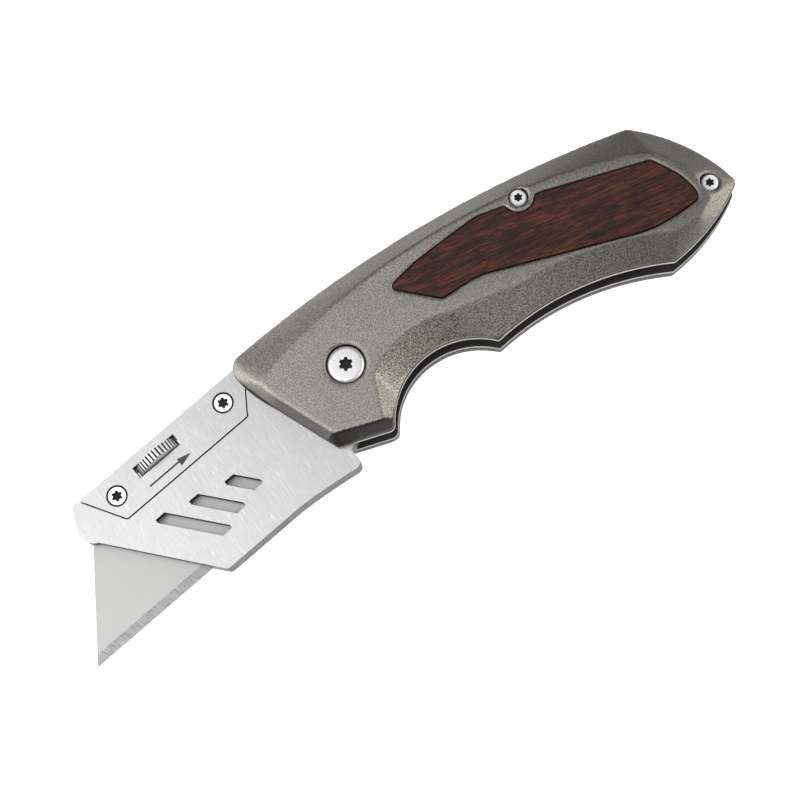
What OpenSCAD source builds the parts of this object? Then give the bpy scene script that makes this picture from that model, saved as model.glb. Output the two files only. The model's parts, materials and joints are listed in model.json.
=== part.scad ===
// Folding utility knife, standing open and lying on its rear scale.
// X runs along the handle towards the butt, Y towards the spine and Z up through the handle's
// thickness. The origin is on the fold axis, in the plane that the knife rests on.

/* [Handle] */
// Thickness of each outer scale
scale_t = 4.2; // [4:0.1:5]
// Thickness of each steel liner
liner_t = 1; // [0.8:0.1:1.2]
// Height of the slot between the liners
slot_h = 5.4; // [5.4:0.1:5.8]
// Height of the front scale's upright edge, below its facets
front_edge_h = 0.7; // [0.4:0.1:1.2]
// Height of the rear scale's upright edge, below its facets
rear_edge_h = 2.5; // [1.8:0.1:2.8]
// Depth of the pocket for each wood inlay
inlay_depth = 1.6; // [1:0.1:2]
// Gap round each wood inlay
inlay_gap = 0.15; // [0.1:0.05:0.25]

/* [Blade] */
// Length of the cutting edge
blade_l = 61; // [60:0.5:62]
// Width from the cutting edge to the back
blade_w = 19; // [18.6:0.1:19.2]
// Thickness of the blade
blade_t = 0.6; // [0.5:0.05:0.65]
// How far each slanted end runs in from the cutting edge to the back
blade_slant = 14; // [13:0.5:15]
// Width of the ground edge
grind_w = 1.9; // [1.2:0.1:2.4]

/* [Carrier] */
// Thickness of the blade carrier
carrier_t = 5; // [4.8:0.1:5]
// Angle of the carrier to the handle when open
droop = 9.7; // [8:0.1:11]
// Thickness of the carrier's cover plate
cover_t = 2.1; // [1.8:0.1:2.1]
// Radius of the thumb wheel
wheel_r = 4.8; // [4.4:0.1:4.9]
// Width of the thumb wheel
wheel_w = 1.9; // [1.6:0.1:2.1]
// Number of ribs round the thumb wheel
wheel_ribs = 36; // [28:1:40]

/* [Pivot and screws] */
// Radius of the pivot barrel
barrel_r = 3; // [2.6:0.1:3.2]
// Radius of the pivot screw's head
pivot_head_r = 3.55; // [3.4:0.05:3.6]
// Radius of the handle screws' heads
screw_head_r = 1.65; // [1.5:0.05:1.7]
// Radius of the stop pin
stop_r = 2; // [1.8:0.1:2.1]

/* [Hidden] */
$fn = 96;

// Heights of the layers, from the resting plane up
rear_liner_z = scale_t;
slot_z = rear_liner_z + liner_t;
front_liner_z = slot_z + slot_h;
front_scale_z = front_liner_z + liner_t;
total_h = front_scale_z + scale_t;
mid_z = total_h / 2;
carrier_z = mid_z - carrier_t / 2;
carrier_top = carrier_z + carrier_t;
cover_z = carrier_top - cover_t;
washer_t = (slot_h - carrier_t) / 2;
over = 1;              // how far cutters run past a face
fit_gap = 0.05;        // radial gap of a running fit
press_gap = 0.02;      // radial gap of a pressed fit

// Where the pieces stand, in the handle's plane
mid_screw = [44.9, 10.6];
butt_screw = [77.3, -6.3];
stop_angle = 60;
stop_reach = 11.8;
stop_at = stop_reach * [cos(stop_angle), sin(stop_angle)];

// Places on the carrier, measured along and across the blade from the fold axis
blade_tip_x = -72.6;
blade_edge_y = -11.5;
blade_back_y = blade_edge_y + blade_w;
wheel_at = [-38.55, 11.9];
notch_pitch = 7.2;
notch_w = 3.2;
notch_depth = 2.4;
cover_screw_at = [[-49.2, 11], [-22.3, 11.4]];
pin_w = 2.4;
pin_shank_r = 1.1;
pin_foot_y = blade_back_y - 2;

// Points of an arc from p up to, but without, q. It bows by rise to the left of the way to q.
function arc(p, q, rise, n = 12) =
    let (c = norm(q - p), along = (q - p) / c, left = [-along[1], along[0]],
         r = (c * c / 4 + rise * rise) / (2 * rise), half = 2 * atan(2 * rise / c))
    [for (i = [0:n - 1]) let (a = half * (2 * i / n - 1))
        (p + q) / 2 + along * r * sin(a) + left * (r * cos(a) - r + rise)];

function polar(r, a) = [r * cos(a), r * sin(a)];

spine_front = [-17.5, 13.3];
spine_back = [70.3, 12.15];
butt_end = [82, -6.5];
heel_corner = [63.8, -15.4];
cusp = [27.3, -10.6];
chin = [2, -14.2];

// Points of the handle's outline, clockwise from the front of the spine
handle_outline = concat(
    arc(spine_front, spine_back, 4.1, 28),
    arc(spine_back, butt_end, 1.7, 12),
    arc(butt_end, [81.3, -9], 0.6, 4),
    arc([81.3, -9], heel_corner, 1.1, 8),
    arc(heel_corner, cusp, -3.1, 16),
    arc(cusp, chin, -6.6, 24),
    arc(chin, [0.2, -14.7], 0.3, 4),
    arc([-9.1, -12.3], [-9.7, -11.7], 0.1, 3),
    arc([-15.9, 0.9], [-19.2, 9], 0.35, 6),
    arc([-19.2, 9], spine_front, 0.8, 6)
);

// The convex shape that the facets start from, and the flat that they leave on top
facet_foot = concat(
    arc(spine_front, spine_back, 4.1, 28),
    arc(spine_back, butt_end, 1.7, 12),
    [[82.3, -8], [81.3, -9]],
    arc([81.3, -9], heel_corner, 1.1, 8),
    [heel_corner, [0.2, -14.7], [-9.1, -12.3], [-9.7, -11.7], [-15.9, 0.9]],
    arc([-19.2, 9], spine_front, 0.8, 6)
);
facet_top = concat(
    [[-9, -10.4], [-14.6, 1.2], [-15.9, 5.2]],
    arc([-14.6, 6.2], [69.2, 5.6], 7.2, 28),
    arc([71, 4.4], [75.9, -4.9], 0.5, 6),
    [[75.4, -9.3], [71.8, -11.2], [0.6, -13.1]]
);
facet_drop = scale_t - front_edge_h;

// Outline of the wood inlay, clockwise from its front end
inlay_outline = concat(
    arc([15.4, 7.6], [16, 8.8], 0.3, 4),
    arc([20.9, 9.9], [34.7, 11.4], 0.1, 4),
    [[36, 11.5], [40.4, 10.6], [49.1, 9]],
    [[63, 5.1]],
    arc([69, 3.4], [70.4, 2.4], 0.3, 4),
    arc([72.7, -1.8], [73.8, -6.6], 0.2, 4),
    arc([73.8, -6.6], [72.3, -8.3], 0.5, 4),
    [[68.3, -8.55], [64.3, -8.5], [60.7, -7.9]],
    [[36, -0.2]],
    arc([31, 1.3], [28.4, 1.65], 0.1, 3),
    arc([23.2, 1.3], [21.6, 1.9], 0.3, 4)
);

module handle_plate(h) linear_extrude(h) polygon(handle_outline);

// Everything above a sloping facet. Its top line runs from a to b at the given height, and it falls
// by drop over the run to the left of that way.
module above_facet(a, b, height, drop, run) {
    way = b - a;
    translate([a[0], a[1], height])
        rotate([0, 0, atan2(way[1], way[0])])
            rotate([-atan2(drop, run), 0, 0])
                cube([norm(way), 60, 20]);
}

// A cone round a finger groove's centre, which cuts a sloping facet above the groove's edge
module groove_cone(at, r, foot) {
    facet_run = 5.4;
    reach = 4;
    translate([at[0], at[1], foot])
        cylinder(r1 = r, r2 = r + facet_run * reach, h = facet_drop * reach, $fn = 240);
}

// The scoops that the finger grooves cut into the lower facets, for a scale whose facets start
// at height foot. The flat between them starts on a line that touches the first groove's cone.
module groove_scoops(foot) {
    top = foot + facet_drop;
    side_run = 3.1;
    flat_run = 8.1;
    intersection() {
        groove_cone([15.7, -21.2], 15.2, foot);
        above_facet([10.1, 14.2], [0.1, -15], top, facet_drop, side_run);
    }
    groove_cone([38.5, -65.5], 55.9, foot);
    above_facet([40, -4.4], [19.1, -0.9], top, facet_drop, flat_run);
}

// One scale, its flat inner face at z = 0. The facets start at height foot.
module scale_blank(foot) {
    difference() {
        intersection() {
            handle_plate(scale_t);
            hull() {
                linear_extrude(foot) polygon(facet_foot);
                translate([0, 0, foot + facet_drop - 0.01]) linear_extrude(0.01) polygon(facet_top);
            }
        }
        groove_scoops(foot);
    }
}

// The inlay's shape, smaller or larger than the nominal one by grow
module inlay_shape(grow) {
    difference() {
        offset(delta = grow) polygon(inlay_outline);
        translate(mid_screw) circle(r = 3.2 - grow);
    }
}

// Six-lobed socket
module star_socket(r, depth) {
    lobe_r = r * 0.3;
    linear_extrude(depth)
        difference() {
            circle(r = r, $fn = 48);
            for (i = [0:5]) rotate(60 * i + 30) translate([r * 1.04, 0]) circle(r = lobe_r, $fn = 32);
        }
}

// Heads' seats, as heights from a scale's inner face
pivot_seat = scale_t - 1.8;
mid_seat = scale_t - 1.7;
butt_seat = scale_t - 2.6;
pivot_head_h = 1.5;
screw_head_h = 1.2;
recess_gap = 0.28;     // round a head, in its counterbore
barrel_gap = 0.15;
nut_r = 1.4;
pivot_star_r = 1.35;
screw_star_r = 0.85;

// Holes through a scale for the pivot and the screws, each counterbored from its outer face
module scale_holes(bore_r) {
    translate([0, 0, -over]) cylinder(r = barrel_r + barrel_gap, h = scale_t + 2 * over);
    translate([0, 0, pivot_seat]) cylinder(r = pivot_head_r + recess_gap, h = scale_t);
    for (s = [[mid_screw, mid_seat], [butt_screw, butt_seat]])
        translate([s[0][0], s[0][1], 0]) {
            translate([0, 0, -over]) cylinder(r = bore_r, h = scale_t + 2 * over);
            translate([0, 0, s[1]]) cylinder(r = screw_head_r + recess_gap, h = scale_t);
        }
}

module scale_with_pocket(foot, bore_r) {
    difference() {
        scale_blank(foot);
        translate([0, 0, scale_t - inlay_depth]) linear_extrude(scale_t) inlay_shape(inlay_gap);
        scale_holes(bore_r);
    }
}

screw_shank_r = 1;
shank_hole_r = screw_shank_r + 0.1;
nut_hole_r = nut_r + 0.1;

module front_scale() {
    color([0.54, 0.53, 0.5])
        translate([0, 0, front_scale_z]) scale_with_pocket(front_edge_h, shank_hole_r);
}

module rear_scale() {
    color([0.5, 0.49, 0.47])
        translate([0, 0, scale_t]) mirror([0, 0, 1]) scale_with_pocket(rear_edge_h, nut_hole_r);
}

module inlay() {
    sunk = 0.05;
    linear_extrude(inlay_depth - sunk) inlay_shape(0);
}

module front_inlay() {
    color([0.35, 0.16, 0.13]) translate([0, 0, total_h - inlay_depth]) inlay();
}

module rear_inlay() {
    color([0.35, 0.16, 0.13]) translate([0, 0, inlay_depth]) mirror([0, 0, 1]) inlay();
}

// Outline of the lock leaf in the front liner's plane
leaf_tip_x = 4.9;
leaf_low_x = 9;        // the leaf is level from here to its tip
leaf_root_x = 40;
leaf_outline = [
    [leaf_tip_x, -7], [7, -7], [11, -4.2], [leaf_root_x, -4.2], [leaf_root_x, 0.2], [leaf_low_x, 0.2],
    [leaf_tip_x, -2]
];
leaf_dip = 2.2;        // how far the leaf's tip stands into the slot
leaf_bend_x = 35;

module liner_plate(hole_r) {
    difference() {
        handle_plate(liner_t);
        translate([0, 0, -over]) {
            cylinder(r = barrel_r + fit_gap, h = liner_t + 2 * over);
            translate([stop_at[0], stop_at[1], 0]) cylinder(r = stop_r + press_gap, h = liner_t + 2 * over);
            for (s = [mid_screw, butt_screw])
                translate([s[0], s[1], 0]) cylinder(r = hole_r, h = liner_t + 2 * over);
        }
    }
}

module front_liner() {
    window_gap = 0.4;
    color([0.78, 0.78, 0.78])
        translate([0, 0, front_liner_z])
            difference() {
                liner_plate(shank_hole_r);
                translate([0, 0, -over]) linear_extrude(liner_t + 2 * over) {
                    intersection() {
                        offset(delta = window_gap) polygon(leaf_outline);
                        translate([-10, -20]) square([leaf_root_x + 10, 40]);
                    }
                }
            }
}

module rear_liner() {
    color([0.78, 0.78, 0.78]) translate([0, 0, rear_liner_z]) liner_plate(nut_hole_r);
}

// Strip between the liners along the spine and round the butt
module back_spacer() {
    inner = concat(
        [[40, 14]],
        arc([40, 10.2], [41.8, 8.2], -0.4, 4),
        [[66, 4.4]],
        arc([73.2, 0.6], [74, -7.6], 0.6, 6),
        [[76.4, -10.2], [79.4, -9.4]]
    );
    outer = concat(arc([79.4, -9.4], [80.6, -6.2], -0.2, 3), arc([80.9, -6.2], [69.5, 10.9], -1.5, 10));
    color([0.2, 0.2, 0.21])
        translate([0, 0, slot_z])
            difference() {
                linear_extrude(slot_h) polygon(concat(inner, outer));
                translate([0, 0, -over])
                    for (s = [mid_screw, butt_screw])
                        translate([s[0], s[1], 0]) cylinder(r = nut_hole_r, h = slot_h + 2 * over);
            }
}

module stop_pin() {
    sunk = 0.1;
    color([0.8, 0.8, 0.8])
        translate([stop_at[0], stop_at[1], rear_liner_z + sunk])
            cylinder(r = stop_r, h = slot_h + 2 * liner_t - 2 * sunk);
}

module pivot_screw() {
    chamfer = 0.35;
    seat_z = front_scale_z + pivot_seat;
    color([0.86, 0.86, 0.86])
        difference() {
            union() {
                translate([0, 0, seat_z]) cylinder(r = pivot_head_r, h = pivot_head_h - chamfer);
                translate([0, 0, seat_z + pivot_head_h - chamfer])
                    cylinder(r1 = pivot_head_r, r2 = pivot_head_r - 2 * chamfer, h = chamfer);
                translate([0, 0, slot_z]) cylinder(r = barrel_r - 1, h = seat_z - slot_z);
            }
            translate([0, 0, seat_z + pivot_head_h - 0.9]) star_socket(pivot_star_r, 2);
        }
}

module pivot_nut() {
    head_h = 1.4;
    seat_z = scale_t - pivot_seat;
    top_z = front_scale_z + pivot_seat - 0.1;
    color([0.84, 0.84, 0.84])
        difference() {
            union() {
                translate([0, 0, seat_z - head_h]) cylinder(r = pivot_head_r, h = head_h);
                translate([0, 0, seat_z]) cylinder(r = barrel_r, h = top_z - seat_z);
            }
            translate([0, 0, slot_z - 0.2]) cylinder(r = barrel_r - 1 + fit_gap, h = total_h);
            translate([0, 0, seat_z - head_h - over]) star_socket(pivot_star_r, 0.8 + over);
        }
}

module pivot_washers() {
    washer_r = 4.3;
    color([0.78, 0.6, 0.3])
        for (z = [slot_z, slot_z + slot_h - washer_t])
            translate([0, 0, z])
                difference() {
                    cylinder(r = washer_r, h = washer_t);
                    translate([0, 0, -over]) cylinder(r = barrel_r + fit_gap, h = washer_t + 2 * over);
                }
}

module round_head(r, h) {
    crown = 0.35;
    cylinder(r = r, h = h - crown);
    translate([0, 0, h - crown]) cylinder(r1 = r, r2 = r - crown, h = crown);
}

module handle_screws() {
    color([0.86, 0.86, 0.86])
        for (s = [[mid_screw, mid_seat], [butt_screw, butt_seat]]) {
            seat_z = front_scale_z + s[1];
            translate([s[0][0], s[0][1], 0])
                difference() {
                    union() {
                        translate([0, 0, seat_z]) round_head(screw_head_r, screw_head_h);
                        translate([0, 0, slot_z]) cylinder(r = screw_shank_r, h = seat_z - slot_z);
                    }
                    translate([0, 0, seat_z + screw_head_h - 0.7]) star_socket(screw_star_r, 2);
                }
        }
}

module handle_nuts() {
    color([0.84, 0.84, 0.84])
        for (s = [[mid_screw, mid_seat], [butt_screw, butt_seat]]) {
            seat_z = scale_t - s[1];
            translate([s[0][0], s[0][1], 0])
                difference() {
                    union() {
                        translate([0, 0, seat_z - screw_head_h])
                            cylinder(r = screw_head_r, h = screw_head_h);
                        translate([0, 0, seat_z]) cylinder(r = nut_r, h = front_liner_z - 0.1 - seat_z);
                    }
                    translate([0, 0, slot_z - 0.2]) cylinder(r = screw_shank_r + fit_gap, h = total_h);
                    translate([0, 0, seat_z - screw_head_h - over]) star_socket(screw_star_r, 0.6 + over);
                }
        }
}

// Spring leaf of the front liner, bent so that its tip stands behind the tang
module lock_leaf() {
    low = front_liner_z - leaf_dip;
    side = [
        [leaf_root_x, front_liner_z], [leaf_bend_x, front_liner_z], [leaf_low_x, low], [leaf_tip_x, low],
        [leaf_tip_x, low + liner_t], [leaf_low_x, low + liner_t],
        [leaf_bend_x, front_liner_z + liner_t], [leaf_root_x, front_liner_z + liner_t]
    ];
    color([0.74, 0.75, 0.77])
        difference() {
            intersection() {
                translate([0, 10, 0]) rotate([90, 0, 0]) linear_extrude(20) polygon(side);
                translate([0, 0, low - over]) linear_extrude(10) polygon(leaf_outline);
            }
            translate([ball_at[0], ball_at[1], low - over])
                cylinder(r = ball_r + press_gap, h = liner_t + 2 * over);
        }
}

ball_at = [6.8, -4.6];
ball_r = 0.8;

module detent_ball() {
    stand_out = 0.35;
    color([0.9, 0.9, 0.9])
        translate([ball_at[0], ball_at[1], front_liner_z - leaf_dip + ball_r - stand_out])
            sphere(r = ball_r, $fn = 48);
}

// The carrier's own frame: along the blade and across it, from the fold axis
module on_carrier() rotate([0, 0, droop]) children();

tang_r = 9.3;
stop_half = asin(stop_r / stop_reach);
fold_angle = 160;
stop_clearance = 0.4;  // angle left between the stop pin and each shoulder
shoulder_r = tang_r - 0.5;
open_shoulder = stop_angle + stop_half + stop_clearance - droop;
closed_shoulder = stop_angle - stop_half - stop_clearance - fold_angle - droop;

// Outline of the carrier, clockwise from the front of its spine
carrier_outline = concat(
    [[-55.6, 15.3], [-14, 15.3], [-4, 13.2], polar(13.4, open_shoulder), polar(shoulder_r, open_shoulder)],
    [polar(shoulder_r, closed_shoulder), polar(12, closed_shoulder), [-9.7, -12.2]],
    arc([-9.7, -14], [-11.2, -15.6], 0.5, 5),
    arc([-11.2, -15.6], [-24, -14.1], -0.15, 5),
    [[-24, -14.1]],
    arc([-41.2, -14.1], [-42.5, -13.5], 0.2, 3),
    arc([-57.5, 6.3], [-59.5, 9.6], 0.6, 5),
    arc([-59.5, 9.6], [-58, 13.6], 0.15, 4),
    arc([-58, 13.6], [-55.6, 15.3], 0.6, 5)
);

// The carrier's plate and the round tang behind it, cut back to the face that the lock leaf meets
module carrier_blank() {
    lock_gap = 0.05;
    step_y = 0.9;
    cut = 20;
    difference() {
        union() {
            linear_extrude(carrier_t) polygon(carrier_outline);
            cylinder(r = tang_r, h = carrier_t);
        }
        rotate([0, 0, -droop])
            translate([leaf_tip_x - lock_gap, step_y - cut, -over])
                cube([cut, cut, carrier_t + 2 * over]);
    }
}

// Outline of the cover plate, clockwise from the front of its spine
cover_outline = concat(
    [[-55.6, 15.3], [-15.6, 15.3], [-15.6, 12.9]],
    arc([-20, 6.8], [-21, 6.1], 0.25, 4),
    arc([-49.7, 6.1], [-50.8, 6.8], 0.3, 4)
);
cover_gap = 0.24;      // width of the line round the cover

module cover_shape(grow) offset(delta = grow) polygon(cover_outline);

// A slanted window that starts at its upper left corner. Its ends lie along the blade.
module window(at, length) {
    width = 2.2;
    step = 0.8;
    way = polar(length, -52.3);
    translate(at)
        polygon([[0, 0], [0, step], [width, step], way + [width, step], way + [width, 0.1], way]);
}

module window_row() {
    window([-46.5, 1.6], 12.9);
    window([-39.4, 0.1], 9);
    window([-31.9, -1.5], 5.4);
}

wheel_slot = [10.1, 2.5];

// Space for the locking pin: a square guide, and a round hole out to the spine
module pin_space() {
    gap = 0.1;
    translate([wheel_at[0] - pin_w / 2 - gap, pin_foot_y - 2 * gap, mid_z - pin_w / 2 - gap])
        cube([pin_w + 2 * gap, wheel_at[1] - wheel_w / 2 - pin_foot_y + 2 * gap, pin_w + 2 * gap]);
    translate([wheel_at[0], wheel_at[1], mid_z]) rotate([-90, 0, 0]) cylinder(r = pin_shank_r + gap, h = 6);
}

module wheel_space() {
    translate([wheel_at[0] - wheel_slot[0] / 2, wheel_at[1] - wheel_slot[1] / 2, carrier_z - over])
        cube([wheel_slot[0], wheel_slot[1], carrier_t + 2 * over]);
}

// Where a cover screw goes through the cover, with its countersink, and into the carrier
csk_r = 2.1;
csk_foot_r = 1.2;
csk_h = 1.1;
cover_shank_r = 1;
pilot_floor = 0.8;     // metal left under the screws' holes

module cover_screw_holes(shank_r) {
    for (s = cover_screw_at)
        translate([s[0], s[1], 0]) {
            translate([0, 0, carrier_z + pilot_floor]) cylinder(r = shank_r, h = carrier_t);
            translate([0, 0, carrier_top - csk_h])
                cylinder(r1 = csk_foot_r, r2 = 2 * csk_r - csk_foot_r, h = 2 * csk_h);
        }
}

module blade_space() {
    gap = 0.15;
    open_front = 20;
    translate([0, 0, mid_z - blade_t / 2 - 0.1])
        linear_extrude(blade_t + 0.2)
            polygon([
                [blade_tip_x - open_front, blade_edge_y - gap],
                [blade_tip_x + blade_l + gap, blade_edge_y - gap],
                [blade_tip_x + blade_l - blade_slant + gap, blade_back_y + gap],
                [blade_tip_x - open_front, blade_back_y + gap]
            ]);
}

module carrier_body() {
    color([0.83, 0.83, 0.84])
        on_carrier()
            difference() {
                translate([0, 0, carrier_z]) carrier_blank();
                translate([0, 0, carrier_z - over])
                    cylinder(r = barrel_r + fit_gap, h = carrier_t + 2 * over);
                translate([0, 0, cover_z]) linear_extrude(carrier_t) cover_shape(cover_gap / 2);
                translate([0, 0, carrier_z - over]) linear_extrude(carrier_t + 2 * over) window_row();
                blade_space();
                pin_space();
                wheel_space();
                cover_screw_holes(cover_shank_r + fit_gap);
            }
}

// Arrow cut into the cover beside the wheel
module direction_arrow() {
    shaft_w = 0.3;
    head_l = 2.8;
    translate([-43.2, 8.15 - shaft_w / 2]) square([7.3, shaft_w]);
    translate([-33.2, 8]) polygon([[0, 0], [-head_l, 0.8], [-head_l, -0.8]]);
}

module carrier_cover() {
    color([0.85, 0.85, 0.86])
        on_carrier()
            difference() {
                translate([0, 0, cover_z]) linear_extrude(cover_t) cover_shape(-cover_gap / 2);
                translate([0, 0, carrier_top - 0.2]) linear_extrude(over) direction_arrow();
                pin_space();
                wheel_space();
                cover_screw_holes(cover_shank_r + 0.1);
            }
}

module cover_screws() {
    sunk = 0.08;
    ring = 0.3;
    color([0.84, 0.84, 0.84])
        on_carrier()
            for (s = cover_screw_at)
                translate([s[0], s[1], 0])
                    difference() {
                        union() {
                            translate([0, 0, carrier_top - csk_h])
                                cylinder(r1 = csk_foot_r - fit_gap, r2 = csk_r - ring, h = csk_h - sunk);
                            translate([0, 0, carrier_z + pilot_floor + 0.2])
                                cylinder(r = cover_shank_r, h = carrier_t - csk_h - pilot_floor);
                        }
                        translate([0, 0, carrier_top - 0.75]) star_socket(1.05, 2);
                    }
}

module thumb_wheel() {
    rib_gap = 0.36;
    color([0.87, 0.87, 0.88])
        on_carrier()
            translate([wheel_at[0], wheel_at[1] + wheel_w / 2, mid_z])
                rotate([90, 0, 0])
                    difference() {
                        cylinder(r = wheel_r, h = wheel_w);
                        translate([0, 0, -over]) {
                            cylinder(r = pin_shank_r + fit_gap, h = wheel_w + 2 * over);
                            for (i = [0:wheel_ribs - 1])
                                rotate(360 / wheel_ribs * i)
                                    translate([wheel_r + rib_gap * 0.2, 0, 0])
                                        rotate(45)
                                            translate(-rib_gap * [0.5, 0.5, 0])
                                                cube([rib_gap, rib_gap, wheel_w + 2 * over]);
                        }
                    }
}

module lock_pin() {
    guide_l = 2.9;
    color([0.7, 0.7, 0.72])
        on_carrier() {
            translate([wheel_at[0] - pin_w / 2, pin_foot_y, mid_z - pin_w / 2])
                cube([pin_w, guide_l, pin_w]);
            translate([wheel_at[0], pin_foot_y + guide_l, mid_z])
                rotate([-90, 0, 0])
                    cylinder(r = pin_shank_r, h = wheel_at[1] + wheel_w / 2 - pin_foot_y - guide_l);
        }
}

module blade() {
    notch_mid = blade_tip_x + blade_l / 2;
    color([0.8, 0.81, 0.82])
        on_carrier()
            difference() {
                translate([0, 0, mid_z - blade_t / 2])
                    linear_extrude(blade_t)
                        difference() {
                            polygon([
                                [blade_tip_x, blade_edge_y], [blade_tip_x + blade_slant, blade_back_y],
                                [blade_tip_x + blade_l - blade_slant, blade_back_y],
                                [blade_tip_x + blade_l, blade_edge_y]
                            ]);
                            for (side = [-1, 1])
                                translate([notch_mid + (side * notch_pitch - notch_w) / 2,
                                           blade_back_y - notch_depth])
                                    square([notch_w, notch_depth + over]);
                        }
                for (side = [-1, 1])
                    translate([blade_tip_x, blade_edge_y, mid_z])
                        mirror([0, 0, side > 0 ? 0 : 1])
                            rotate([atan2(blade_t / 2 - 0.02, grind_w), 0, 0])
                                translate([-5, -5, 0.02]) cube([blade_l + 10, grind_w + 5, 3]);
            }
}

front_scale();
rear_scale();
front_inlay();
rear_inlay();
front_liner();
rear_liner();
back_spacer();
stop_pin();
pivot_screw();
pivot_nut();
pivot_washers();
handle_screws();
handle_nuts();
lock_leaf();
detent_ball();
carrier_body();
carrier_cover();
cover_screws();
thumb_wheel();
lock_pin();
blade();
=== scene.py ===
import json
import math

import bmesh
import bpy
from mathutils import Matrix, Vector


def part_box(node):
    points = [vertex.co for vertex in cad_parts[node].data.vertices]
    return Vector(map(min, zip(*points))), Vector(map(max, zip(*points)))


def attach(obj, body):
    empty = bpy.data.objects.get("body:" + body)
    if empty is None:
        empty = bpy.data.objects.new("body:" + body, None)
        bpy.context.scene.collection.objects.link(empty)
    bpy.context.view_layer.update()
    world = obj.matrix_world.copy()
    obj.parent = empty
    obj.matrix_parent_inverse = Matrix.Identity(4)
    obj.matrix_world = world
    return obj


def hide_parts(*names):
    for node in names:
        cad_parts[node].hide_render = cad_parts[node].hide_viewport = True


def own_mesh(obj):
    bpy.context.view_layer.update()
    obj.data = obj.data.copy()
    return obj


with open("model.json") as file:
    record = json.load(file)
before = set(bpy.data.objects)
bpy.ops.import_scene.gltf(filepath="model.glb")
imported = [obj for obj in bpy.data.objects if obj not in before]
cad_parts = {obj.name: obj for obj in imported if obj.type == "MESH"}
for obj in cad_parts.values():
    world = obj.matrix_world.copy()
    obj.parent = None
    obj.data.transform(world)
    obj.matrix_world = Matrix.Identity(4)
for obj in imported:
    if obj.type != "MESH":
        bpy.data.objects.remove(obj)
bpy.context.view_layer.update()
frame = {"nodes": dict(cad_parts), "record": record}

# Folding utility knife, open and lying on its rear scale. Sizes are in metres.
mm = 0.001
nodes = frame["nodes"]
bodies = frame["record"]["behaviour"]["bodies"]
bodyOf = {node: body for body, members in bodies.items() for node in members}
droop = math.radians(9.7)  # the carrier's angle to the handle
upright = 0.3  # a face is upright when the Z of its normal is under this
level = 0.9  # and level when it is over this
noiseSpan = (0.3, 0.7)  # where most of a noise's values lie


# Camera, floor and light
view = {
    "place": (-9.06 * mm, -93.77 * mm, 352.9 * mm),
    "turn": (12.938, 5.118, -31.0),  # degrees
    "lens": 83.25,
}
room = {
    "floorSide": 8.0,
    "floorColour": "#F4F4F4",
    "floorGlow": 0.8,
    "worldColour": "#FFFFFF",
    "worldStrength": 0.34,
    "lamps": [
        {"name": "topLamp", "place": (-0.2, 0.04, 0.52), "size": 0.4, "power": 1.12},
        {"name": "rightLamp", "place": (0.52, -0.32, 0.36), "size": 0.8, "power": 4.0},
        {"name": "noseLamp", "place": (-0.52, 0.22, 0.36), "size": 0.75, "power": 2.8},
    ],
}


def deselectAll():
    if bpy.context.object and bpy.context.object.mode != "OBJECT":
        bpy.ops.object.mode_set(mode="OBJECT")
    bpy.ops.object.select_all(action="DESELECT")


def makeActive(piece):
    deselectAll()
    piece.select_set(True)
    bpy.context.view_layer.objects.active = piece


def linear(hexColour):
    shares = [int(hexColour[i:i + 2], 16) / 255 for i in (1, 3, 5)]
    return tuple(c / 12.92 if c <= 0.04045 else ((c + 0.055) / 1.055) ** 2.4 for c in shares)


def aimAt(thing, target):
    way = Vector(target) - thing.location
    thing.rotation_euler = way.to_track_quat("-Z", "Y").to_euler()


def setCamera():
    turn = [math.radians(angle) for angle in view["turn"]]
    bpy.ops.object.camera_add(location=view["place"], rotation=turn)
    camera = bpy.context.object
    camera.name = "camera"
    camera.data.lens = view["lens"]
    camera.data.sensor_width = 36
    camera.data.clip_start = 0.01
    bpy.context.scene.camera = camera


def setFloor():
    deselectAll()
    bpy.ops.mesh.primitive_plane_add(size=room["floorSide"], location=(0, 0, -0.2 * mm))
    floor = bpy.context.object
    floor.name = "floor"
    paper = bpy.data.materials.new("palePaper")
    paper.use_nodes = True
    shader = paper.node_tree.nodes["Principled BSDF"]
    shader.inputs["Base Color"].default_value = (*linear(room["floorColour"]), 1)
    shader.inputs["Roughness"].default_value = 0.9
    shader.inputs["Emission Color"].default_value = (1, 1, 1, 1)
    shader.inputs["Emission Strength"].default_value = room["floorGlow"]
    floor.data.materials.append(paper)


def setLamps():
    for lamp in room["lamps"]:
        bpy.ops.object.light_add(type="AREA", location=lamp["place"])
        light = bpy.context.object
        light.name = lamp["name"]
        light.data.energy = lamp["power"]
        light.data.size = lamp["size"]
        aimAt(light, (0, 0, 0))
    world = bpy.data.worlds.new("softRoom")
    bpy.context.scene.world = world
    world.use_nodes = True
    sky = world.node_tree.nodes["Background"]
    sky.inputs["Color"].default_value = (*linear(room["worldColour"]), 1)
    sky.inputs["Strength"].default_value = room["worldStrength"]
    bpy.context.scene.view_settings.view_transform = "Standard"


setCamera()
setFloor()
setLamps()
print("camera, floor and lamps are set")


# Small helpers for the materials' nodes
def newMaterial(name, rough, metal=0.0):
    material = bpy.data.materials.new(name)
    material.use_nodes = True
    tree = material.node_tree
    shader = tree.nodes["Principled BSDF"]
    shader.inputs["Roughness"].default_value = rough
    shader.inputs["Metallic"].default_value = metal
    coords = tree.nodes.new("ShaderNodeTexCoord").outputs["Object"]
    return material, tree, shader, coords


def grainCoords(tree, coords, size, turn=0.0):
    # a pattern whose marks are size long, wide and deep, turned about Z
    mapping = tree.nodes.new("ShaderNodeMapping")
    mapping.vector_type = "TEXTURE"
    mapping.inputs["Scale"].default_value = size
    mapping.inputs["Rotation"].default_value = (0, 0, turn)
    tree.links.new(coords, mapping.inputs["Vector"])
    return mapping.outputs["Vector"]


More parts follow.
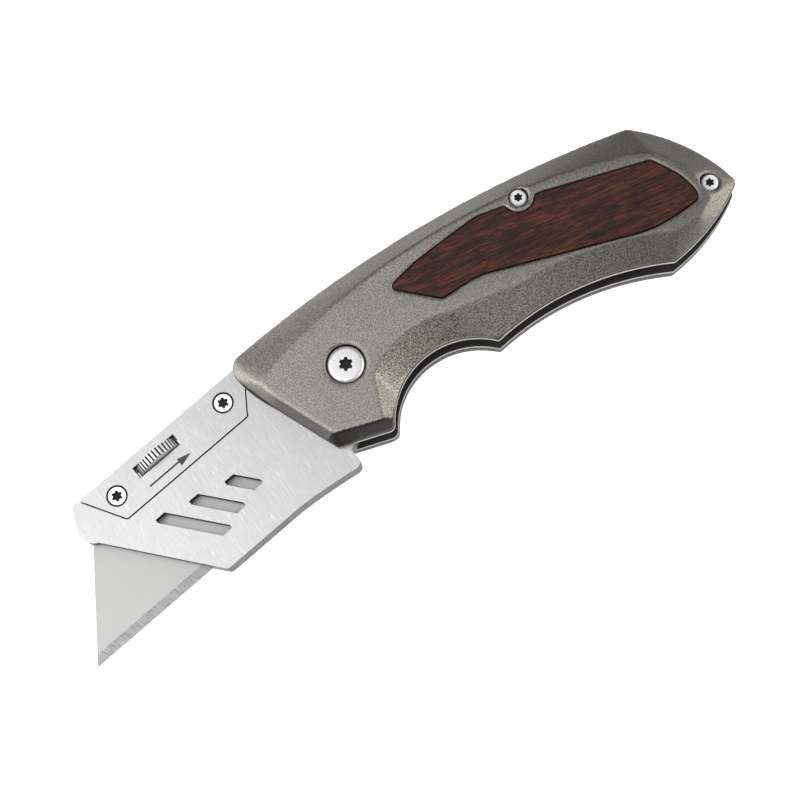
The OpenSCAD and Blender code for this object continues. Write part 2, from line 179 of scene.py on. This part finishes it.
def noiseOf(tree, coords, detail=2.0, rough=0.5, twist=0.0):
    noise = tree.nodes.new("ShaderNodeTexNoise")
    noise.inputs["Scale"].default_value = 1.0
    noise.inputs["Detail"].default_value = detail
    noise.inputs["Roughness"].default_value = rough
    noise.inputs["Distortion"].default_value = twist
    tree.links.new(coords, noise.inputs["Vector"])
    return noise.outputs["Fac"]


def rescale(tree, value, low, high, newLow=0.0, newHigh=1.0):
    remap = tree.nodes.new("ShaderNodeMapRange")
    limits = {"From Min": low, "From Max": high, "To Min": newLow, "To Max": newHigh}
    for key, number in limits.items():
        remap.inputs[key].default_value = number
    tree.links.new(value, remap.inputs["Value"])
    return remap.outputs["Result"]


def combine(tree, operation, first, second):
    mathNode = tree.nodes.new("ShaderNodeMath")
    mathNode.operation = operation
    for socket, value in zip(mathNode.inputs, (first, second)):
        if isinstance(value, (int, float)):
            socket.default_value = value
        else:
            tree.links.new(value, socket)
    return mathNode.outputs["Value"]


def blendColours(tree, share, first, second):
    mix = tree.nodes.new("ShaderNodeMix")
    mix.data_type = "RGBA"
    sockets = (mix.inputs["Factor"], mix.inputs[6], mix.inputs[7])  # 6 and 7 are the two colours
    for socket, value in zip(sockets, (share, first, second)):
        if isinstance(value, str):
            socket.default_value = (*linear(value), 1)
        elif isinstance(value, (int, float)):
            socket.default_value = value
        else:
            tree.links.new(value, socket)
    return mix.outputs[2]  # the blended colour


def attributeOf(tree, name):
    reader = tree.nodes.new("ShaderNodeAttribute")
    reader.attribute_name = name
    return reader.outputs["Fac"]


def addBump(tree, shader, height, depth, strength=1.0):
    bump = tree.nodes.new("ShaderNodeBump")
    bump.inputs["Strength"].default_value = strength
    bump.inputs["Distance"].default_value = depth
    tree.links.new(height, bump.inputs["Height"])
    tree.links.new(bump.outputs["Normal"], shader.inputs["Normal"])


def setColour(tree, shader, colour):
    tree.links.new(colour, shader.inputs["Base Color"])


def varyRoughness(tree, value, look):
    # the look's roughness, moved up and down by a noise value
    below, above = look["roughRange"]
    return rescale(tree, value, *noiseSpan, look["rough"] + below, look["rough"] + above)


# Cast scales: satin gun-metal, coarse like sand on the lower bevels, with painted shade on the
# upright walls, the chin, the spine bevels and towards the butt, and painted highlights on the
# scoops and the nose
castLook = {
    "light": "#AAA7A1",
    "deep": "#716E6A",
    "sandLight": "#98938A",
    "sandDeep": "#3A3733",
    "buttShade": "#4B4844",  # painted shade: the tone that the colour falls to towards the butt
    "buttShadeReach": (18 * mm, 78 * mm),
    "buttShadeShare": 0.5,
    "spine": "#3E3C39",  # painted shade on the bevels that face the spine and on the lower nose facets
    "spineShare": 0.5,
    # painted shade on the upright walls and the chin chamfer
    "wallShade": "#1C1A18",
    # painted highlight on the facets facing the butt and on the upper nose, and lighter convex
    # edges as wear and highlight
    "wornAndLit": "#D8D2C4",
    "wornAndLitDeep": "#8E887C",
    "rough": 0.43,
    "metal": 0.75,
    "fineGrain": 0.24 * mm,
    "sandGrain": 0.3 * mm,
    "grainRange": (0.36, 0.64),  # noise values at which a tone starts and is full
    "wornAndLitRange": (0.34, 0.62),
    "cloud": 9 * mm,
    "cloudRange": (0.35, 0.75),
    "cloudShare": 0.2,
    "buttShadeOnSand": 0.5,  # how much more the sandy bevels fall to the painted butt shade
    "roughRange": (-0.05, 0.07),
    "sandRough": 0.06,
    "bump": 0.09 * mm,
    "bumpStrength": 0.75,
    "bumpShares": (0.4, 0.9),  # of the fine grain and of the sand
}


def makeCastMetal():
    look = castLook
    material, tree, shader, coords = newMaterial("castMetal", look["rough"], look["metal"])
    sand = attributeOf(tree, "sand")
    wallShade = attributeOf(tree, "wallShade")
    wearAndHighlight = attributeOf(tree, "wearAndHighlight")
    fine = noiseOf(tree, grainCoords(tree, coords, (look["fineGrain"],) * 3), 1.0, 0.6)
    coarse = noiseOf(tree, grainCoords(tree, coords, (look["sandGrain"],) * 3), 2.0, 0.7)
    cloud = noiseOf(tree, grainCoords(tree, coords, (look["cloud"],) * 3), 3.0, 0.5)
    satinShare = rescale(tree, fine, *look["grainRange"])
    sandShare = rescale(tree, coarse, *look["grainRange"])
    satin = blendColours(tree, satinShare, look["deep"], look["light"])
    sandy = blendColours(tree, sandShare, look["sandDeep"], look["sandLight"])
    colour = blendColours(tree, sand, satin, sandy)
    clouded = rescale(tree, cloud, *look["cloudRange"], 0.0, look["cloudShare"])
    colour = blendColours(tree, clouded, colour, look["deep"])
    # painted shade: darker towards the butt, more so on the sandy bevels
    split = tree.nodes.new("ShaderNodeSeparateXYZ")
    tree.links.new(coords, split.inputs["Vector"])
    buttShade = rescale(tree, split.outputs["X"], *look["buttShadeReach"], 0.0, look["buttShadeShare"])
    onSand = combine(tree, "MULTIPLY", sand, look["buttShadeOnSand"])
    buttShade = combine(tree, "MULTIPLY", buttShade, combine(tree, "ADD", 1.0, onSand))
    colour = blendColours(tree, buttShade, colour, look["buttShade"])
    # painted shade on the bevels that face the spine
    spine = combine(tree, "MULTIPLY", attributeOf(tree, "spine"), look["spineShare"])
    colour = blendColours(tree, spine, colour, look["spine"])
    # painted highlight and edge wear
    wornAndLitShare = rescale(tree, coarse, *look["wornAndLitRange"])
    wornAndLit = blendColours(tree, wornAndLitShare, look["wornAndLitDeep"], look["wornAndLit"])
    colour = blendColours(tree, wearAndHighlight, colour, wornAndLit)
    # painted shade on the upright walls and the chin
    colour = blendColours(tree, wallShade, colour, look["wallShade"])
    setColour(tree, shader, colour)
    satinRough = varyRoughness(tree, fine, look)
    roughness = combine(tree, "ADD", satinRough, combine(tree, "MULTIPLY", sand, look["sandRough"]))
    tree.links.new(roughness, shader.inputs["Roughness"])
    fineShare, coarseShare = look["bumpShares"]
    sandHeight = combine(tree, "MULTIPLY", combine(tree, "MULTIPLY", coarse, sand), coarseShare)
    height = combine(tree, "ADD", combine(tree, "MULTIPLY", fine, fineShare), sandHeight)
    addBump(tree, shader, height, look["bump"], look["bumpStrength"])
    return material


# Rosewood inlays: grain along the handle, dark streaks and short pores
woodLook = {
    "mid": "#311A17",
    "light": "#672F20",
    "dark": "#1D1110",
    "pore": "#140A08",
    "turn": math.radians(-9),
    "rough": 0.45,
    "specular": 0.3,
    "broadMarks": (13 * mm, 2.2 * mm, 3 * mm),
    "narrowMarks": (6 * mm, 0.32 * mm, 1 * mm),
    "poreMarks": (1.9 * mm, 0.17 * mm, 0.5 * mm),
    "grainRange": (0.42, 0.64),
    "streakRange": (0.42, 0.62),
    "streakShare": 0.85,
    "poreRange": (0.56, 0.64),
    "poreShare": 0.85,
    "roughRange": (-0.05, 0.08),
    "poreRough": 0.25,
    "bump": 0.05 * mm,
    "bumpStrength": 0.6,
    "grainBump": 0.25,
}


def makeRosewood():
    look = woodLook
    material, tree, shader, coords = newMaterial("rosewood", look["rough"])
    turn = look["turn"]
    broad = noiseOf(tree, grainCoords(tree, coords, look["broadMarks"], turn), 4.0, 0.6, 1.2)
    narrow = noiseOf(tree, grainCoords(tree, coords, look["narrowMarks"], turn), 4.0, 0.7, 0.4)
    pores = noiseOf(tree, grainCoords(tree, coords, look["poreMarks"], turn), 1.0, 0.5)
    grain = rescale(tree, narrow, *look["grainRange"])
    colour = blendColours(tree, grain, look["mid"], look["light"])
    streak = rescale(tree, broad, *look["streakRange"], 0.0, look["streakShare"])
    colour = blendColours(tree, streak, colour, look["dark"])
    poreMask = rescale(tree, pores, *look["poreRange"])
    poreTint = combine(tree, "MULTIPLY", poreMask, look["poreShare"])
    colour = blendColours(tree, poreTint, colour, look["pore"])
    setColour(tree, shader, colour)
    poreRough = combine(tree, "MULTIPLY", poreMask, look["poreRough"])
    roughness = combine(tree, "ADD", varyRoughness(tree, narrow, look), poreRough)
    tree.links.new(roughness, shader.inputs["Roughness"])
    raised = combine(tree, "MULTIPLY", narrow, look["grainBump"])
    height = combine(tree, "SUBTRACT", raised, poreMask)
    addBump(tree, shader, height, look["bump"], look["bumpStrength"])
    shader.inputs["Specular IOR Level"].default_value = look["specular"]
    return material


# Brushed and plain steels
brushLook = {
    "light": "#C6C6C6",
    "deep": "#AEAEAF",
    "scratch": "#F2F2F2",
    "hairMarks": (4 * mm, 0.13 * mm, 0.13 * mm),
    "scratchMarks": (2 * mm, 0.11 * mm, 0.3 * mm),
    "smearMarks": (14 * mm, 5 * mm, 5 * mm),
    "turn": math.radians(91.5),
    "scratchTurn": 0.12,
    "hairRange": (0.32, 0.68),
    "scratchRange": (0.62, 0.72),
    "scratchShare": 0.4,
    "smearRange": (0.4, 0.75),
    "smearShare": 0.3,
    "rough": 0.36,
    "roughRange": (-0.06, 0.08),
    "metal": 0.72,
    "bump": 0.012 * mm,
    "bumpStrength": 0.4,
}


def makeBrushedSteel():
    look = brushLook
    material, tree, shader, coords = newMaterial("brushedSteel", look["rough"], look["metal"])
    hair = noiseOf(tree, grainCoords(tree, coords, look["hairMarks"], look["turn"]), 3.0, 0.7)
    scratchTurn = look["turn"] + look["scratchTurn"]
    scratch = noiseOf(tree, grainCoords(tree, coords, look["scratchMarks"], scratchTurn), 1.0, 0.4)
    smear = noiseOf(tree, grainCoords(tree, coords, look["smearMarks"], look["turn"]), 2.0, 0.5)
    brushed = rescale(tree, hair, *look["hairRange"])
    colour = blendColours(tree, brushed, look["deep"], look["light"])
    marks = rescale(tree, scratch, *look["scratchRange"], 0.0, look["scratchShare"])
    colour = blendColours(tree, marks, colour, look["scratch"])
    smeared = rescale(tree, smear, *look["smearRange"], 0.0, look["smearShare"])
    colour = blendColours(tree, smeared, colour, look["deep"])
    setColour(tree, shader, colour)
    tree.links.new(varyRoughness(tree, hair, look), shader.inputs["Roughness"])
    height = combine(tree, "ADD", hair, marks)
    addBump(tree, shader, height, look["bump"], look["bumpStrength"])
    return material


bladeLook = {
    "body": "#B2B2B1",
    "bodyDeep": "#ADADAC",
    "ground": "#B4B4B4",
    "groundDeep": "#7E7E7E",
    "edgeY": -11.5 * mm,  # across the carrier, from the fold axis
    "grindWidth": 1.9 * mm,
    "grindBlend": 0.04 * mm,
    "matMarks": (2 * mm, 0.25 * mm, 0.5 * mm),
    "grindMarks": (3 * mm, 0.12 * mm, 0.5 * mm),
    "grindTurn": 1.9,
    "grindRange": (0.32, 0.68),
    "rough": 0.46,
    "roughRange": (-0.05, 0.06),
    "metal": 0.6,
    "bump": 0.015 * mm,
    "bumpStrength": 0.5,
    "matBump": 0.1,
}


def makeBladeSteel():
    look = bladeLook
    material, tree, shader, coords = newMaterial("bladeSteel", look["rough"], look["metal"])
    along = grainCoords(tree, coords, (1, 1, 1), droop)
    split = tree.nodes.new("ShaderNodeSeparateXYZ")
    tree.links.new(along, split.inputs["Vector"])
    grindTop = look["edgeY"] + look["grindWidth"]
    ground = rescale(tree, split.outputs["Y"],
                     grindTop + look["grindBlend"], grindTop - look["grindBlend"])
    grindTurn = droop + look["grindTurn"]
    mat = noiseOf(tree, grainCoords(tree, coords, look["matMarks"], droop), 3.0, 0.6)
    teeth = noiseOf(tree, grainCoords(tree, coords, look["grindMarks"], grindTurn), 2.0, 0.6)
    bodyShare = rescale(tree, mat, *noiseSpan)
    bevelShare = rescale(tree, teeth, *look["grindRange"])
    body = blendColours(tree, bodyShare, look["bodyDeep"], look["body"])
    bevel = blendColours(tree, bevelShare, look["groundDeep"], look["ground"])
    setColour(tree, shader, blendColours(tree, ground, body, bevel))
    tree.links.new(varyRoughness(tree, mat, look), shader.inputs["Roughness"])
    height = combine(tree, "ADD", combine(tree, "MULTIPLY", mat, look["matBump"]),
                     combine(tree, "MULTIPLY", teeth, ground))
    addBump(tree, shader, height, look["bump"], look["bumpStrength"])
    return material


# What the plain finishes share: small stains on the steels, and specks on the dark ones
plainLook = {
    "stain": 2.2 * mm,
    "stainRange": (0.55, 0.8),
    "stainShare": 0.35,
    "stainRough": 0.12,
    "roughRange": (0.3, 0.8),
    "steelBump": 0.006 * mm,
    "speck": 0.35 * mm,
    "speckRange": (0.35, 0.65),
    "speckRough": 0.08,
    "darkBump": 0.03 * mm,
    "bumpStrength": 0.4,
}


def makePlainSteel(name, light, deep, rough, metal, grain):
    # satin or polished steel with turning marks and small stains
    look = plainLook
    material, tree, shader, coords = newMaterial(name, rough, metal)
    fine = noiseOf(tree, grainCoords(tree, coords, [side * mm for side in grain]), 3.0, 0.6)
    stain = noiseOf(tree, grainCoords(tree, coords, (look["stain"],) * 3), 3.0, 0.6)
    colour = blendColours(tree, rescale(tree, fine, *noiseSpan), deep, light)
    stained = rescale(tree, stain, *look["stainRange"], 0.0, look["stainShare"])
    setColour(tree, shader, blendColours(tree, stained, colour, deep))
    roughness = rescale(tree, stain, *look["roughRange"], rough, rough + look["stainRough"])
    tree.links.new(roughness, shader.inputs["Roughness"])
    addBump(tree, shader, fine, look["steelBump"], look["bumpStrength"])
    return material


def makeDullDark(name, light, deep, rough):
    look = plainLook
    material, tree, shader, coords = newMaterial(name, rough)
    speck = noiseOf(tree, grainCoords(tree, coords, (look["speck"],) * 3), 3.0, 0.6)
    specked = rescale(tree, speck, *look["speckRange"])
    setColour(tree, shader, blendColours(tree, specked, deep, light))
    swing = look["speckRough"]
    roughness = rescale(tree, speck, *noiseSpan, rough - swing, rough + swing)
    tree.links.new(roughness, shader.inputs["Roughness"])
    addBump(tree, shader, speck, look["darkBump"], look["bumpStrength"])
    return material


castMetal = makeCastMetal()
rosewood = makeRosewood()
brushedSteel = makeBrushedSteel()
bladeSteel = makeBladeSteel()
plainSteels = {
    # light and deep tone, roughness, share of metal, and size of the turning marks in mm
    "polishedSteel": ("#EAEAEA", "#CCCCCC", 0.24, 0.7, (0.5, 0.06, 0.5)),
    "platedSteel": ("#F6F6F6", "#DCDCDC", 0.28, 0.35, (0.5, 0.06, 0.5)),
    "wheelSteel": ("#F2F2F2", "#D6D6D6", 0.3, 0.5, (0.4, 0.4, 0.4)),
    "windowShade": ("#2E2E2E", "#1C1C1C", 0.5, 0.3, (0.2, 0.2, 1.5)),
    "linerSteel": ("#A5A39F", "#787672", 0.36, 0.85, (2, 0.3, 0.08)),
    # painted shade on the liners' flat faces inside the slot
    "linerInnerShade": ("#4A4846", "#2C2B2A", 0.45, 0.6, (2, 0.2, 0.2)),
    "springSteel": ("#B9BABC", "#8E8F92", 0.34, 0.85, (3, 0.1, 0.1)),
    # the cut edges' duller steel, darkened further as painted shade
    "cutSteelAndShade": ("#5E5E5E", "#454545", 0.45, 0.75, (0.15, 0.15, 1.5)),
    "bronze": ("#B98A4A", "#8E6430", 0.35, 0.9, (0.3, 0.3, 0.3)),
}
dullDarks = {
    # light and deep tone, and roughness
    "mattBlack": ("#1D1D1E", "#0C0C0D", 0.55),
    # painted shade in the sockets, the screw sinks, the wheel's gaps and along the cover's edge
    "recessShade": ("#0E0E0E", "#050505", 0.7),
    "inkGrey": ("#4A4A4C", "#333335", 0.6),
}
finishes = {name: makePlainSteel(name, *look) for name, look in plainSteels.items()}
finishes.update({name: makeDullDark(name, *look) for name, look in dullDarks.items()})
print("materials are made")


# Refined copies of CAD nodes
copyShape = {
    "weld": 0.001 * mm,
    "flatAngle": math.radians(1),  # faces closer in angle than this are joined
    "crease": 35,  # degrees between faces from which an edge is rounded
    "flatWeight": 80,
}


def copyOfNode(node, name, materials):
    mesh = nodes[node].data.copy()
    mesh.name = name
    mesh.materials.clear()
    for material in materials:
        mesh.materials.append(material)
    piece = bpy.data.objects.new(name, mesh)
    bpy.context.collection.objects.link(piece)
    for face in mesh.polygons:
        face.material_index = 0
    makeActive(piece)
    bpy.ops.object.mode_set(mode="EDIT")
    bpy.ops.mesh.select_all(action="SELECT")
    bpy.ops.mesh.remove_doubles(threshold=copyShape["weld"])
    bpy.ops.mesh.dissolve_limited(angle_limit=copyShape["flatAngle"])
    bpy.ops.object.mode_set(mode="OBJECT")
    return piece


def softenEdges(piece, width, segments=1, crease=copyShape["crease"], slot=-1):
    angle = math.radians(crease)
    makeActive(piece)
    bevel = piece.modifiers.new("edges", "BEVEL")
    bevel.width = width
    bevel.segments = segments
    bevel.limit_method = "ANGLE"
    bevel.angle_limit = angle
    bevel.use_clamp_overlap = True
    bevel.material = slot
    bpy.ops.object.modifier_apply(modifier=bevel.name)
    bpy.ops.object.shade_smooth_by_angle(angle=angle)
    flatten = piece.modifiers.new("flatFaces", "WEIGHTED_NORMAL")  # keeps large flats flat
    flatten.weight = copyShape["flatWeight"]
    flatten.keep_sharp = True
    bpy.ops.object.modifier_apply(modifier=flatten.name)


def paintFaces(piece, index, chosen):
    # gives material slot index to the faces that chosen picks by centre and normal
    for face in piece.data.polygons:
        if chosen(face.center, face.normal):
            face.material_index = index


def standIn(piece, node):
    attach(piece, bodyOf[node])
    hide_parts(node)


def setAttribute(piece, name, values):
    layer = piece.data.attributes.new(name, "FLOAT", "POINT")
    layer.data.foreach_set("value", values)


def ease(low, high, value):
    # a soft step from 0 at low to 1 at high
    share = min(max((value - low) / (high - low), 0), 1)
    return share * share * (3 - 2 * share)


# Scales: remeshed fine and relaxed, so that the facets run into each other as on a casting
scaleShape = {
    "voxel": 0.3 * mm,
    "relax": 9,  # rounds of smoothing
    "relaxFactor": 0.5,
    "chinX": (-11 * mm, 3.4 * mm),
    "chinY": -10.2 * mm,
    # how far up from the liner the wall gets painted shade, on the belly side and on the spine side
    "wallHeight": {"front_scale": 0.75 * mm, "rear_scale": 2.5 * mm},
    "lipHeight": 0.75 * mm,
    "wallBlend": 0.12 * mm,
    "sandWay": (0.6, -0.8),  # the side that the sandy bevels face, in X and Y
    # how dark the painted shade on the chin chamfer is
    "chinShade": 0.96,
    "facetHighlight": 0.42,  # how bright the painted highlight is on the facets that face the butt and on the upper nose
    # how much lighter the convex edges get, as wear and painted highlight
    "edgeWearAndSheen": 0.14,
}
maskRanges = {
    # where each share starts and is full: parts of a point's normal, or metres
    "sandSide": (0.16, 0.3),
    "sandUp": (0.25, 0.5),
    "chin": (0.25, 0.42),
    "wallSide": (-0.2, 0.2),
    "wallBelly": (0.2, -0.2),
    "wallSteep": (0.35, 0.15),
    "buttward": (0.2, 0.42),
    "bellyward": (0.2, 0),
    "noseward": (0.2, 0.42),
    "upperHalf": (0, 4 * mm),
    "bulge": (0.05 * mm, 0.16 * mm),
    "wornAndLitUp": (0.3, 0.6),
    "spineward": (0.1, 0.3),
    "spineAlong": (-8 * mm, 20 * mm),
}


def share(rangeName, value):
    return ease(*maskRanges[rangeName], value)


def scaleMasks(piece, node, upSign):
    # how sandy each point is, how much painted shade it gets on the walls, the chin and the spine
    # bevels, and how much painted highlight and edge wear
    low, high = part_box(node)
    inner = low[2] if upSign > 0 else high[2]
    wallTop, lip = scaleShape["wallHeight"][node], scaleShape["lipHeight"]
    blend = scaleShape["wallBlend"]
    chinLow, chinHigh = scaleShape["chinX"]
    sandX, sandY = scaleShape["sandWay"]
    mesh = bmesh.new()
    mesh.from_mesh(piece.data)
    mesh.normal_update()
    sand, wallShade, wearAndHighlight, spine = [], [], [], []
    for vertex in mesh.verts:
        normal = vertex.normal
        up = normal.z * upSign
        aftDown = sandX * normal.x + sandY * normal.y
        sand.append(share("sandSide", aftDown) * share("sandUp", up))
        # painted shade on the chin chamfer, on the walls near the liner and on steep walls facing
        # the belly
        onChin = chinLow < vertex.co.x < chinHigh and vertex.co.y < scaleShape["chinY"]
        chin = share("chin", -normal.y) if onChin else 0
        height = (vertex.co.z - inner) * upSign
        top = wallTop - (wallTop - lip) * share("wallSide", normal.y)
        dark = ease(top + blend, top - blend, height) if up > -0.5 else 1
        steep = share("wallSteep", up) * share("wallBelly", normal.y)
        wallShade.append(max(dark, steep, chin * scaleShape["chinShade"]))
        around = [edge.other_vert(vertex) for edge in vertex.link_edges]
        bulge = sum(((other.co - vertex.co).dot(normal) for other in around), 0)
        # painted highlight on the facets that face the butt and on the upper nose; convex edges
        # lighter as wear and painted highlight
        facingButt = share("buttward", normal.x) * share("bellyward", normal.y)
        facingNose = share("noseward", -normal.x)
        upper = share("upperHalf", vertex.co.y)
        facetHighlight = max(facingButt, facingNose * upper) * scaleShape["facetHighlight"]
        wornAndLit = share("bulge", -bulge) * scaleShape["edgeWearAndSheen"]
        wearAndHighlight.append(max(facetHighlight, wornAndLit) * share("wornAndLitUp", up))
        # painted shade on the bevels that face the spine, and on the nose facets of the lower half
        spineSide = share("spineward", normal.y) * share("spineAlong", vertex.co.x)
        spine.append(max(spineSide, facingNose * (1 - upper)))
    mesh.free()
    for name, values in (("sand", sand), ("wallShade", wallShade), ("wearAndHighlight", wearAndHighlight), ("spine", spine)):
        setAttribute(piece, name, values)


def makeScale(node, name, upSign):
    piece = copyOfNode(node, name, [castMetal])
    remesh = piece.modifiers.new("voxels", "REMESH")
    remesh.mode = "VOXEL"
    remesh.voxel_size = scaleShape["voxel"]
    bpy.ops.object.modifier_apply(modifier=remesh.name)
    relax = piece.modifiers.new("relax", "SMOOTH")
    relax.factor = scaleShape["relaxFactor"]
    relax.iterations = scaleShape["relax"]
    bpy.ops.object.modifier_apply(modifier=relax.name)
    bpy.ops.object.shade_smooth()
    scaleMasks(piece, node, upSign)
    standIn(piece, node)
    print(name, len(piece.data.polygons), "faces")


makeScale("front_scale", "frontScaleCasting", 1)
makeScale("rear_scale", "rearScaleCasting", -1)


# Wood inlays, with a small round along their edges
inlayShape = {"edge": 0.22 * mm, "segments": 3, "crease": 40}
for node, name in (("front_inlay", "frontInlayWood"), ("rear_inlay", "rearInlayWood")):
    inlay = copyOfNode(node, name, [rosewood])
    softenEdges(inlay, inlayShape["edge"], inlayShape["segments"], inlayShape["crease"])
    standIn(inlay, node)
print("inlays are made")


# Screws and nuts: bright heads with painted shade in the sockets
screwShape = {
    "edge": 0.07 * mm,
    "headReach": 4 * mm,
    "headSpacing": 9 * mm,  # heads of one node stand further apart than this
    "socketDepth": (0.04 * mm, 1.2 * mm),  # below the head's top
    "coverRing": 1.7 * mm,  # outside it a cover screw's head gets painted shade, widening the dark gap to its sink
}
screws = [
    # CAD node, piece, finish, side the head faces, and radius of the socket
    ("pivot_screw", "pivotScrewBright", "polishedSteel", 1, 1.4 * mm),
    ("pivot_nut", "pivotNutBright", "polishedSteel", -1, 1.4 * mm),
    ("handle_screws", "handleScrewsBright", "platedSteel", 1, 0.9 * mm),
    ("handle_nuts", "handleNutsBright", "platedSteel", -1, 0.9 * mm),
    ("cover_screws", "coverScrewsBright", "polishedSteel", 1, 1.1 * mm),
]


def nearAxis(places, radius):
    def chosen(centre, normal):
        return any(math.hypot(centre.x - x, centre.y - y) < radius for x, y in places)
    return chosen


def headPlaces(node):
    # centres of a node's screw heads, from its outline's clusters
    clusters = []
    for vertex in nodes[node].data.vertices:
        for cluster in clusters:
            away = math.hypot(vertex.co.x - cluster[0].x, vertex.co.y - cluster[0].y)
            if away < screwShape["headSpacing"]:
                cluster.append(vertex.co)
                break
        else:
            clusters.append([vertex.co])
    places = []
    for cluster in clusters:
        across, along = [v.x for v in cluster], [v.y for v in cluster]
        places.append(((min(across) + max(across)) / 2, (min(along) + max(along)) / 2))
    return places


def makeScrews(node, name, finish, side, socketRadius):
    piece = copyOfNode(node, name, [finishes[finish], finishes["recessShade"]])
    shallow, deep = screwShape["socketDepth"]
    for place in headPlaces(node):
        onHead = nearAxis([place], screwShape["headReach"])
        overSocket = nearAxis([place], socketRadius)
        outer = max(v.co.z * side for v in piece.data.vertices if onHead(v.co, None))

        def inSocket(centre, normal):
            return overSocket(centre, normal) and shallow < outer - centre.z * side < deep

        # painted shade in the sockets
        paintFaces(piece, 1, inSocket)
    softenEdges(piece, screwShape["edge"], 2)
    # painted shade on the cover screws' heads outside the ring
    if node == "cover_screws":
        inside = nearAxis(headPlaces(node), screwShape["coverRing"])
        paintFaces(piece, 1, lambda centre, normal: not inside(centre, normal))
    standIn(piece, node)


for screw in screws:
    makeScrews(*screw)
print("screws are made")


# Carrier: brushed plate and cover with a fine edge round, painted shade on the cut edges, in the
# windows, in the screw sinks and along the cover's edge, and the arrow filled in grey
carrierShape = {
    "edge": 0.1 * mm,
    "arrowDepth": (0.12 * mm, 0.3 * mm),
    "sinkRadius": 2.2 * mm,
    "windowsAlong": (-47 * mm, -25 * mm),  # from the fold axis, along the blade
    "windowsAcross": (-9 * mm, 3 * mm),
    "brightRim": 0.3 * mm,  # along the spine the cover's edge keeps the brushed steel, without the painted shade
}


def acrossOf(place):
    return place.y * math.cos(droop) - place.x * math.sin(droop)


def amongWindows(centre):
    along = centre.x * math.cos(droop) + centre.y * math.sin(droop)
    across = acrossOf(centre)
    (left, right), (bottom, top) = carrierShape["windowsAlong"], carrierShape["windowsAcross"]
    return left < along < right and bottom < across < top


def makeCarrier():
    plateSlots = [brushedSteel, finishes["cutSteelAndShade"], finishes["windowShade"]]
    body = copyOfNode("carrier_body", "carrierBodyBrushed", plateSlots)
    # cut edges: duller steel with painted shade
    paintFaces(body, 1, lambda centre, normal: abs(normal.z) < upright)
    paintFaces(body, 2, lambda centre, normal: abs(normal.z) < upright and amongWindows(centre))
    softenEdges(body, carrierShape["edge"], 2)
    standIn(body, "carrier_body")

    coverSlots = [brushedSteel, finishes["inkGrey"], finishes["recessShade"]]
    cover = copyOfNode("carrier_cover", "carrierCoverBrushed", coverSlots)
    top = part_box("carrier_cover")[1][2]
    shallow, deep = carrierShape["arrowDepth"]
    sink = nearAxis(headPlaces("cover_screws"), carrierShape["sinkRadius"])

    def inArrow(centre, normal):
        return normal.z > level and shallow < top - centre.z < deep

    # painted shade in the screw sinks and on the cover's upright walls
    def inSinkOrWall(centre, normal):
        return normal.z < level and (sink(centre, normal) or abs(normal.z) < upright)

    paintFaces(cover, 1, inArrow)
    paintFaces(cover, 2, inSinkOrWall)
    # the rounded edges get painted shade too, so the cover's outline reads as a dark groove
    softenEdges(cover, carrierShape["edge"], slot=2)
    rim = max(acrossOf(vertex.co) for vertex in cover.data.vertices) - carrierShape["brightRim"]
    paintFaces(cover, 0, lambda centre, normal: acrossOf(centre) > rim and normal.z > -level)
    standIn(cover, "carrier_cover")


makeCarrier()
print("carrier is made")


# Thumb wheel: bright ribs with painted shade in the gaps
wheelShape = {"edge": 0.05 * mm, "gapRadius": 4.72 * mm}


def makeWheel():
    wheelSlots = [finishes["wheelSteel"], finishes["recessShade"]]
    wheel = copyOfNode("thumb_wheel", "thumbWheelRibbed", wheelSlots)
    low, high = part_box("thumb_wheel")
    middle = [(a + b) / 2 for a, b in zip(low, high)]
    axis = Vector((-math.sin(droop), math.cos(droop), 0))

    def inGap(centre, normal):
        arm = Vector(centre) - Vector(middle)
        arm -= axis * arm.dot(axis)
        return abs(normal.dot(axis)) < 0.5 and arm.length < wheelShape["gapRadius"]

    # painted shade in the gaps between the ribs
    paintFaces(wheel, 1, inGap)
    softenEdges(wheel, wheelShape["edge"])
    standIn(wheel, "thumb_wheel")


makeWheel()
print("wheel is made")


# Lock leaf and detent ball, copied with a fine edge round; the leaf keeps the shape it has with the
# carrier open
leafShape = {
    "edge": 0.08 * mm,
    "crease": 40,
    "keep": 0.3,  # share of its height that is left with the carrier folded
    "ballHeight": 1.25 * mm,  # the ball is staked flat on top
}


def flattenTop(piece, height):
    makeActive(piece)
    bpy.ops.object.mode_set(mode="EDIT")
    bpy.ops.mesh.select_all(action="SELECT")
    bpy.ops.mesh.bisect(plane_co=(0, 0, height), plane_no=(0, 0, 1),
                        use_fill=True, clear_outer=True)
    bpy.ops.object.mode_set(mode="OBJECT")


def makeLock():
    for node, name, material, slotName in (
        ("lock_leaf", "lockLeafSpring", finishes["springSteel"], "liner"),
        ("detent_ball", "detentBallBright", finishes["polishedSteel"], "screws"),
    ):
        piece = copyOfNode(node, name, [material])
        if node == "detent_ball":
            flattenTop(piece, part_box(node)[0][2] + leafShape["ballHeight"])
        softenEdges(piece, leafShape["edge"], crease=leafShape["crease"])
        standIn(piece, node)
        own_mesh(piece)


makeLock()
print("lock is made")

# Liners: bright along their cut edges, painted shade on their flat faces inside the slot
linerShape = {"edge": 0.06 * mm}
for node, name in (("front_liner", "frontLinerSheet"), ("rear_liner", "rearLinerSheet")):
    liner = copyOfNode(node, name, [finishes["linerSteel"], finishes["linerInnerShade"]])
    # painted shade on the flat faces
    paintFaces(liner, 1, lambda centre, normal: abs(normal.z) > level)
    softenEdges(liner, linerShape["edge"])
    standIn(liner, node)
print("liners are made")

# CAD nodes that keep their shape and get their finish
finishOf = {
    "back_spacer": finishes["mattBlack"],
    "stop_pin": finishes["polishedSteel"],
    "pivot_washers": finishes["bronze"],
    "lock_pin": finishes["springSteel"],
    "blade": bladeSteel,
}
for node, material in finishOf.items():
    nodes[node].data.materials.clear()
    nodes[node].data.materials.append(material)
print("finishes are set")
